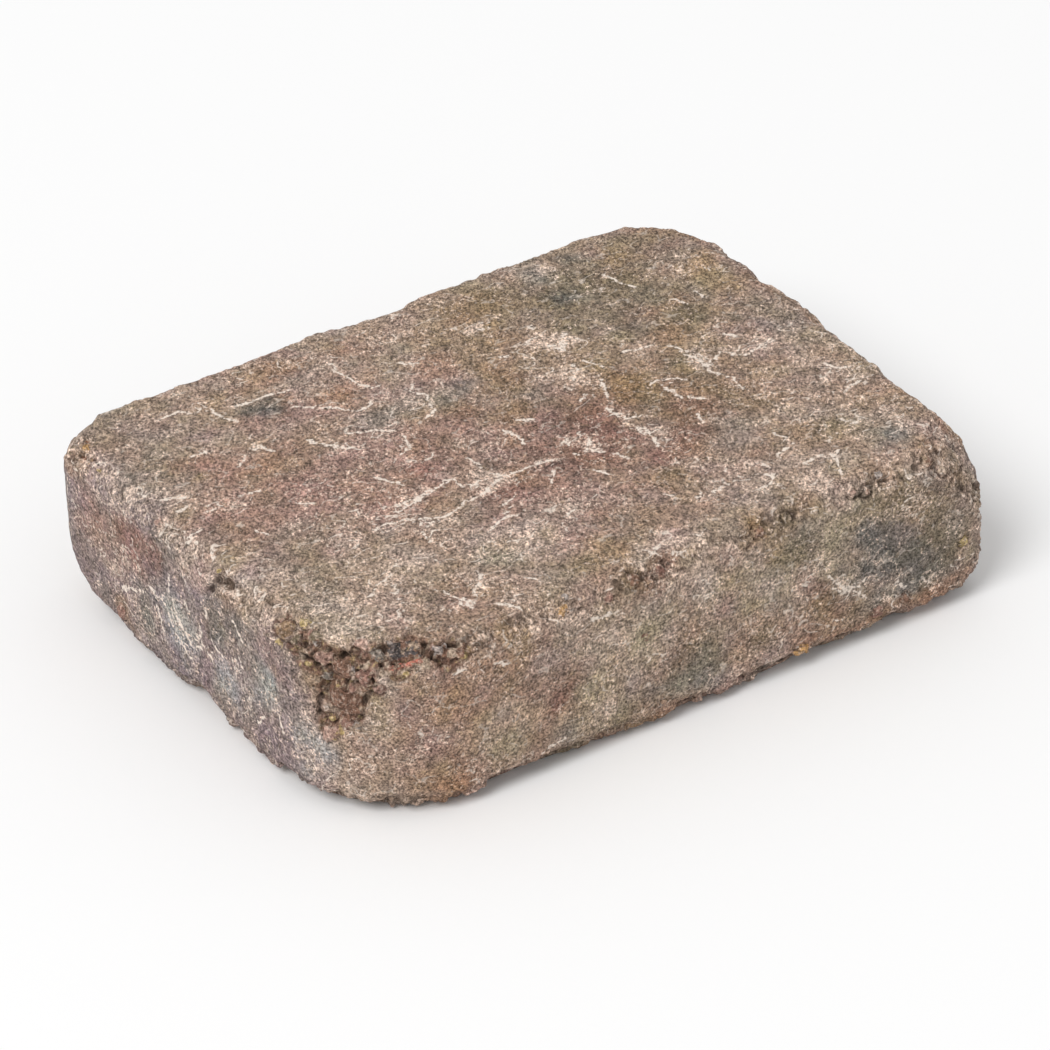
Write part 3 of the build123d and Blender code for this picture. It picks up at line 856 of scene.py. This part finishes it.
def worms(g, place, fine, lime, broken):
    """Short worms of lime all over, most of them in the bloom and none in the broken corner."""
    long_way = g.vector("MULTIPLY", place, (0.6, 1.0, 1.0))
    worm = g.noise(long_way, WORM_SIZE, 13, detail=1.5)[0]
    worm = g.between(g.size_of(g.subtract(worm, 0.5)), 0.026, 0.006)
    patches = g.between(g.noise(place, WORM_PATCH_SIZE, 14)[0], 0.48, 0.55)
    worm = g.times(worm, g.times(patches, g.between(lime, 0.0, 0.5, 0.35, 0.95)))
    worm = g.times(worm, g.between(fine, 0.40, 0.52, 0.2, 1.0))
    return g.times(worm, g.between(broken, 0.0, 0.5, 1.0, 0.0))


def laid_streaks(g, place, fine, fray, streak):
    """The listed long streaks, bent a little and frayed."""
    from_line, past_end, width = g.parts(streak["Vector"])
    bend = g.between(g.noise(place, BEND_SIZE, 15)[0], 0.2, 0.8, -0.6, 0.6)
    gap = g.size_of(g.add(from_line, bend))
    gap = g.subtract(gap, g.times(width, g.between(fray, 0.3, 0.7, -0.6, 0.95)))
    mark = g.times(g.between(gap, 0.38, 0.08), g.between(past_end, 0.4, -0.4))
    mark = g.times(mark, g.between(streak["Alpha"], 0.35, 0.5))
    return g.times(g.times(mark, g.between(fine, 0.36, 0.48, 0.4, 1.0)), 0.95)


def small_pits(g, place):
    """1 in small pits, in about one cell out of twelve, which the bump dents and the colour darkens as
    painted shade.
    """
    pit = g.grains(place, PIT_SPACING, 16)
    picked = g.between(g.parts(pit["Color"])[1], 0.88, 0.95)
    return g.times(g.between(pit["Distance"], 0.20, 0.10), picked)


def bare_paste(g, place):
    """The paste inside the broken corner: brown, with dark gaps and pale and yellow sand."""
    tone = g.parts(g.noise(place, BARE_PASTE_SIZE, 9, detail=4, roughness=0.65)["Color"])
    bare = g.mix(g.between(tone[0], 0.36, 0.56), linear("gap"), linear("brown"))
    bare = g.mix(g.between(tone[1], 0.5, 0.62, 0, 0.85), bare, linear("beige"))
    return g.mix(g.between(tone[2], 0.57, 0.68, 0, 0.7), bare, linear("yellow"))


def bared_stones(g, fine, fine_sand, fray):
    """Where bared stones show, and their colour with dark gaps and a little lime."""
    stone = g.attribute("stone")
    rim = g.add(stone["Alpha"], g.between(fray, 0.3, 0.7, -0.6, 0.6))
    colour = g.mix(g.between(fine_sand, 0.32, 0.58, 0.60, 0.0), stone["Color"], linear("gap"))
    colour = g.mix(g.between(fine, 0.50, 0.66, 0.0, 0.42), colour, linear("cream"))
    return g.between(rim, -0.1, 0.3, 0, 0.85), colour


def concrete():
    """Tumbled concrete: mottled paste, sand grains, lime bloom and streaks, pits and bared stones."""
    material = bpy.data.materials.new("concrete")
    g = Shader(material)
    metres = g.node("ShaderNodeTexCoord", {}).outputs["Object"]
    place = g.node("ShaderNodeVectorMath", {0: metres, "Scale": 1 / MM}, operation="SCALE").outputs[0]
    drawn_out = {"Vector": place, "Rotation": (0, 0, GRAIN_HEADING), "Scale": (1, GRAIN_LENGTH, 1)}
    lie = g.node("ShaderNodeMapping", drawn_out, vector_type="TEXTURE").outputs[0]
    fine = g.noise(lie, FINE_LIME_SIZE, 19, detail=3, roughness=0.62)[0]
    fine_sand = g.noise(lie, FINE_SAND_SIZE, 4, roughness=0.7)[0]
    speck = g.noise(lie, SPECK_SIZE, 18, detail=3, roughness=0.6)[0]
    fray = g.noise(place, FRAY_SIZE, 7)[0]
    wear_light_and_shade = g.attribute("wear_light_and_shade")
    chalk_and_highlight, broken, hollow_shade = g.parts(wear_light_and_shade["Vector"])
    tinted = g.attribute("tint")
    streak = g.attribute("streak")

    # The bloom is a veil and specks, more of it on the arrises and little in the broken corner; on the tops
    # of the arrises' crumbs it is a painted highlight
    lime = g.most(tinted["Alpha"], g.times(chalk_and_highlight, 0.58))
    lime = g.times(lime, g.between(broken, 0.0, 1.0, 1.0, 0.1))
    cover = lime_cover(g, place, lie, fine, lime, streak["Alpha"])
    colour = g.mix(g.times(lime, 0.22), tinted["Color"], linear("lime"))
    colour = g.mix(cover, colour, linear("cream"))
    colour = sand(g, colour, lie, fine_sand, speck)
    marks = g.most(laid_streaks(g, place, fine, fray, streak), worms(g, place, fine, lime, broken))
    colour = g.mix(marks, colour, linear("streak"))
    # Painted shade: the small pits are darkened, as shade in them
    pitted = small_pits(g, place)
    colour = g.mix(g.times(pitted, 0.8), colour, linear("painted shade"))

    # The broken corner and its stones are lumpy as well: their tone follows the bump's lumps, partly as real
    # tone and partly as painted light on the raised lumps and painted shade in the low ones
    colour = g.mix(g.times(broken, 0.8), colour, bare_paste(g, place))
    stony, stone_colour = bared_stones(g, fine, fine_sand, fray)
    colour = g.mix(stony, colour, stone_colour)
    lump = g.noise(place, BARE_LUMP_SIZE, 24, detail=3, roughness=0.6)[0]
    # Painted light and shade: raised lumps are made lighter and low ones darker
    lump_light_and_shade = g.subtract(g.between(lump, 0.30, 0.70, 0.50, 1.75), 1.0)
    colour = g.shaded(colour, g.add(g.times(lump_light_and_shade, g.most(stony, broken)), 1.0))

    # Painted shade: deep places and the hollows between crumbs are darkened, as shade in them
    dark = g.most(g.between(wear_light_and_shade["Alpha"], 0.24, 0.6, 0, 0.78), g.times(hollow_shade, 0.55))
    colour = g.mix(dark, colour, linear("painted shade"))

    height = g.add(g.times(fine_sand, 0.5), g.times(cover, 0.10))
    height = g.add(height, g.times(speck, 0.9))
    height = g.add(height, g.times(g.times(lump, broken), 0.8))
    height = g.subtract(height, g.times(pitted, 0.4))
    bump = g.node("ShaderNodeBump", {"Height": height, "Strength": 1.0, "Distance": BUMP_DEPTH * MM})
    surface = g.node("ShaderNodeBsdfPrincipled", {
        "Base Color": colour, "Roughness": g.between(fine, 0.3, 0.7, 0.98, 0.86), "Normal": bump.outputs[0],
        "Specular IOR Level": 0.25})
    g.node("ShaderNodeOutputMaterial", {"Surface": surface.outputs[0]})
    return material


# Floor, lamp and camera: metres, degrees, and millimetres on the camera's sensor

FLOOR_SIZE = 4.0
FLOOR_SEEN = 0.99
FLOOR_BOUNCE = 0.80
WORLD_STRENGTH = 0.62
LAMP_HEADING = Vector((-0.62, -0.22, 0.75))
LAMP_DISTANCE = 9.0
LAMP_SIZE = 4.8
LAMP_SHARE = 0.54
CAMERA_TARGET = Vector((-3.58 * MM, -7.48 * MM, 25.0 * MM))
CAMERA_AZIMUTH = -33.350
CAMERA_ELEVATION = 33.135
CAMERA_ROLL = -1.464
CAMERA_DISTANCE = 1.56667
PHOTO_WIDTH = 1050
FOCAL_PIXELS = 6000
SENSOR = 36.0
SEEN_TO = 20


def grey(level):
    """A grey of that level as the shader takes it."""
    return (level, level, level, 1.0)


def floor():
    """Pale floor. The camera sees it nearly white, and it still takes the shadow."""
    half = FLOOR_SIZE / 2
    mesh = bpy.data.meshes.new("floor")
    corners = [(-half, -half, 0), (half, -half, 0), (half, half, 0), (-half, half, 0)]
    mesh.from_pydata(corners, [], [(0, 1, 2, 3)])
    made = bpy.data.objects.new("floor", mesh)
    bpy.context.scene.collection.objects.link(made)
    material = bpy.data.materials.new("floor")
    g = Shader(material)
    seen = g.node("ShaderNodeLightPath", {}).outputs["Is Camera Ray"]
    matt = g.node("ShaderNodeBsdfDiffuse", {"Color": g.mix(seen, grey(FLOOR_BOUNCE), grey(FLOOR_SEEN))})
    g.node("ShaderNodeOutputMaterial", {"Surface": matt.outputs[0]})
    mesh.materials.append(material)


def light():
    """Even white surroundings and one large soft lamp."""
    world = bpy.data.worlds.new("studio")
    world.use_nodes = True
    background = world.node_tree.nodes["Background"]
    background.inputs["Strength"].default_value = WORLD_STRENGTH
    background.inputs["Color"].default_value = grey(1)
    bpy.context.scene.world = world
    lamp = bpy.data.lights.new("key", "AREA")
    lamp.shape = "DISK"
    lamp.size = LAMP_SIZE
    # With a share of 1, white that faces the lamp would render as 1
    lamp.energy = LAMP_SHARE * math.pi ** 2 * LAMP_DISTANCE ** 2
    made = bpy.data.objects.new("key", lamp)
    made.location = LAMP_HEADING.normalized() * LAMP_DISTANCE
    made.rotation_euler = LAMP_HEADING.to_track_quat("Z", "Y").to_euler()
    bpy.context.scene.collection.objects.link(made)


def camera():
    """The photo's camera, found from the block's outline."""
    turn = math.radians(CAMERA_AZIMUTH)
    rise = math.radians(CAMERA_ELEVATION)
    back = Vector((math.sin(turn) * math.cos(rise), -math.cos(turn) * math.cos(rise), math.sin(rise)))
    right = Vector((math.cos(turn), math.sin(turn), 0))
    upright = Matrix((right, back.cross(right), back)).transposed()
    data = bpy.data.cameras.new("camera")
    data.sensor_width = SENSOR
    data.lens = SENSOR * FOCAL_PIXELS / PHOTO_WIDTH
    data.clip_end = SEEN_TO
    made = bpy.data.objects.new("camera", data)
    made.matrix_world = (Matrix.Translation(CAMERA_TARGET + back * CAMERA_DISTANCE)
                         @ upright.to_4x4() @ Matrix.Rotation(math.radians(CAMERA_ROLL), 4, "Z"))
    bpy.context.scene.collection.objects.link(made)
    bpy.context.scene.camera = made


paver = worn_copy(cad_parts["paver"])
paver.data.materials.clear()
paver.data.materials.append(concrete())
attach(paver, "root")
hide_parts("paver")
floor()
light()
camera()
bpy.context.scene.view_settings.view_transform = "Standard"
